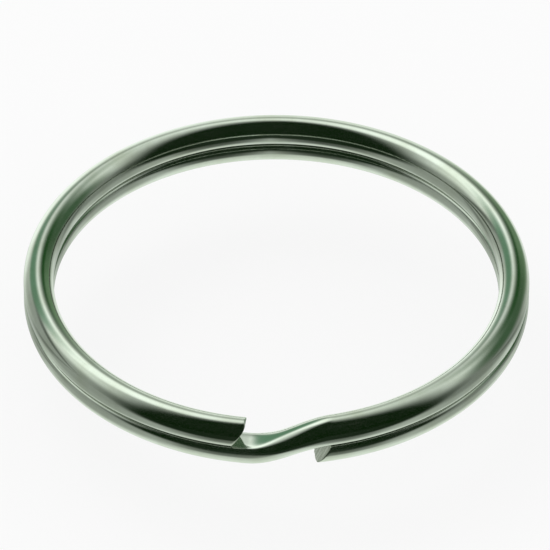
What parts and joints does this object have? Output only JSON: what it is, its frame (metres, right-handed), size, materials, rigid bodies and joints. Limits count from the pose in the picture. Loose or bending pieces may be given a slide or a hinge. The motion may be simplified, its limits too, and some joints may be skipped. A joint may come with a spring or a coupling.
{
  "type": "split key ring",
  "caption": "Split key ring: one flattened spring-steel wire wound into two closed turns with an S-shaped crossover; either free end is prised open to thread a key.",
  "frame": {"origin": "on the ring's axis, at the plane that the lower turn lies on", "axes": "+Z along the ring's axis, towards the upper turn; -Y through the middle of the crossover; +X towards the rigid half of the upper turn"},
  "size_m": [0.03, 0.03, 0.003],
  "materials": {
    "nickel_plated_steel": "bright nickel plate on drawn spring steel, polished, with fine handling scratches"
  },
  "bodies": {
    "coil": {"upper_half_turn": "nickel_plated_steel", "crossover_bend": "nickel_plated_steel", "lower_half_turn": "nickel_plated_steel"},
    "upper_leaf_1": {"upper_leaf_section_1": "nickel_plated_steel"},
    "upper_leaf_2": {"upper_leaf_section_2": "nickel_plated_steel"},
    "upper_leaf_3": {"upper_leaf_section_3": "nickel_plated_steel"},
    "upper_leaf_4": {"upper_leaf_section_4": "nickel_plated_steel"},
    "upper_leaf_5": {"upper_leaf_section_5": "nickel_plated_steel"},
    "upper_leaf_6": {"upper_leaf_section_6": "nickel_plated_steel"},
    "upper_leaf_7": {"upper_leaf_section_7": "nickel_plated_steel"},
    "upper_leaf_8": {"upper_leaf_section_8": "nickel_plated_steel"},
    "upper_leaf_9": {"upper_leaf_free_end": "nickel_plated_steel"},
    "lower_leaf_1": {"lower_leaf_section_1": "nickel_plated_steel"},
    "lower_leaf_2": {"lower_leaf_section_2": "nickel_plated_steel"},
    "lower_leaf_3": {"lower_leaf_section_3": "nickel_plated_steel"},
    "lower_leaf_4": {"lower_leaf_section_4": "nickel_plated_steel"},
    "lower_leaf_5": {"lower_leaf_section_5": "nickel_plated_steel"},
    "lower_leaf_6": {"lower_leaf_section_6": "nickel_plated_steel"},
    "lower_leaf_7": {"lower_leaf_section_7": "nickel_plated_steel"},
    "lower_leaf_8": {"lower_leaf_section_8": "nickel_plated_steel"},
    "lower_leaf_9": {"lower_leaf_free_end": "nickel_plated_steel"}
  },
  "joints": [
    {"name": "upper_leaf_flex_1", "type": "hinge", "parent": "coil", "child": "upper_leaf_1", "pos_m": [-0.00222, 0.01458, 0.00223], "axis": [-0.995, 0.0996, -0.0001], "range_deg": [0, 0.0203]},
    {"name": "upper_leaf_flex_2", "type": "hinge", "parent": "coil", "child": "upper_leaf_2", "pos_m": [-0.00655, 0.01351, 0.00224], "axis": [-0.9964, 0.0849, -0.0002], "range_deg": [0, 0.2126]},
    {"name": "upper_leaf_flex_3", "type": "hinge", "parent": "coil", "child": "upper_leaf_3", "pos_m": [-0.01008, 0.01172, 0.00225], "axis": [-0.9954, 0.0954, 0.0002], "range_deg": [0, 1.22]},
    {"name": "upper_leaf_flex_4", "type": "hinge", "parent": "coil", "child": "upper_leaf_4", "pos_m": [-0.01256, 0.00938, 0.0023], "axis": [-0.9976, 0.0697, 0.0007], "range_deg": [0, 3.68]},
    {"name": "upper_leaf_flex_5", "type": "hinge", "parent": "coil", "child": "upper_leaf_5", "pos_m": [-0.01388, 0.00695, 0.00243], "axis": [-0.9998, 0.0178, 0.0001], "range_deg": [0, 7.16]},
    {"name": "upper_leaf_flex_6", "type": "hinge", "parent": "coil", "child": "upper_leaf_6", "pos_m": [-0.01395, 0.00516, 0.00261], "axis": [-0.9994, -0.035, -0.0007], "range_deg": [0, 9.98]},
    {"name": "upper_leaf_flex_7", "type": "hinge", "parent": "coil", "child": "upper_leaf_7", "pos_m": [-0.01264, 0.00499, 0.00273], "axis": [-0.998, -0.0626, -0.0002], "range_deg": [0, 10.69]},
    {"name": "upper_leaf_flex_8", "type": "hinge", "parent": "coil", "child": "upper_leaf_8", "pos_m": [-0.00967, 0.0073, 0.00265], "axis": [-0.9988, -0.0482, 0.0011], "range_deg": [0, 9.49]},
    {"name": "upper_end_opening", "type": "hinge", "parent": "coil", "child": "upper_leaf_9", "pos_m": [0, 0.01411, 0.00224], "axis": [-1, 0, 0], "range_deg": [0, 7.18], "stiffness_Nm_per_rad": 3.38},
    {"name": "lower_leaf_flex_1", "type": "hinge", "parent": "coil", "child": "lower_leaf_1", "pos_m": [0.00228, 0.01457, 0.00074], "axis": [0.9948, 0.1015, 0.0001], "range_deg": [0, 0.0211]},
    {"name": "lower_leaf_flex_2", "type": "hinge", "parent": "coil", "child": "lower_leaf_2", "pos_m": [0.0067, 0.01346, 0.00073], "axis": [0.9962, 0.0875, 0.0002], "range_deg": [0, 0.2324]},
    {"name": "lower_leaf_flex_3", "type": "hinge", "parent": "coil", "child": "lower_leaf_3", "pos_m": [0.01027, 0.01158, 0.00072], "axis": [0.9953, 0.0969, -0.0003], "range_deg": [0, 1.33]},
    {"name": "lower_leaf_flex_4", "type": "hinge", "parent": "coil", "child": "lower_leaf_4", "pos_m": [0.01273, 0.00914, 0.00066], "axis": [0.9978, 0.0667, -0.0007], "range_deg": [0, 3.98]},
    {"name": "lower_leaf_flex_5", "type": "hinge", "parent": "coil", "child": "lower_leaf_5", "pos_m": [0.01395, 0.00667, 0.00052], "axis": [0.9999, 0.011, 0], "range_deg": [0, 7.56]},
    {"name": "lower_leaf_flex_6", "type": "hinge", "parent": "coil", "child": "lower_leaf_6", "pos_m": [0.01385, 0.00498, 0.00034], "axis": [0.9991, -0.0422, 0.0008], "range_deg": [0, 10.21]},
    {"name": "lower_leaf_flex_7", "type": "hinge", "parent": "coil", "child": "lower_leaf_7", "pos_m": [0.01227, 0.00516, 0.00024], "axis": [0.9979, -0.0648, 0], "range_deg": [0, 10.55]},
    {"name": "lower_leaf_flex_8", "type": "hinge", "parent": "coil", "child": "lower_leaf_8", "pos_m": [0.00888, 0.00803, 0.00037], "axis": [0.9991, -0.0423, -0.0012], "range_deg": [0, 9.12]},
    {"name": "lower_end_opening", "type": "hinge", "parent": "coil", "child": "lower_leaf_9", "pos_m": [0, 0.01411, 0.00073], "axis": [1, 0, 0], "range_deg": [0, 7.14], "stiffness_Nm_per_rad": 3.232}
  ],
  "couplings": [
    {"joint": "upper_leaf_flex_1", "follows": "upper_end_opening", "ratio": 0.002808},
    {"joint": "upper_leaf_flex_2", "follows": "upper_end_opening", "ratio": 0.029569},
    {"joint": "upper_leaf_flex_3", "follows": "upper_end_opening", "ratio": 0.16968},
    {"joint": "upper_leaf_flex_4", "follows": "upper_end_opening", "ratio": 0.5124},
    {"joint": "upper_leaf_flex_5", "follows": "upper_end_opening", "ratio": 0.99663},
    {"joint": "upper_leaf_flex_6", "follows": "upper_end_opening", "ratio": 1.3892},
    {"joint": "upper_leaf_flex_7", "follows": "upper_end_opening", "ratio": 1.4873},
    {"joint": "upper_leaf_flex_8", "follows": "upper_end_opening", "ratio": 1.3213},
    {"joint": "lower_leaf_flex_1", "follows": "lower_end_opening", "ratio": 0.002929},
    {"joint": "lower_leaf_flex_2", "follows": "lower_end_opening", "ratio": 0.032506},
    {"joint": "lower_leaf_flex_3", "follows": "lower_end_opening", "ratio": 0.18675},
    {"joint": "lower_leaf_flex_4", "follows": "lower_end_opening", "ratio": 0.55664},
    {"joint": "lower_leaf_flex_5", "follows": "lower_end_opening", "ratio": 1.058},
    {"joint": "lower_leaf_flex_6", "follows": "lower_end_opening", "ratio": 1.429},
    {"joint": "lower_leaf_flex_7", "follows": "lower_end_opening", "ratio": 1.4761},
    {"joint": "lower_leaf_flex_8", "follows": "lower_end_opening", "ratio": 1.276}
  ]
}
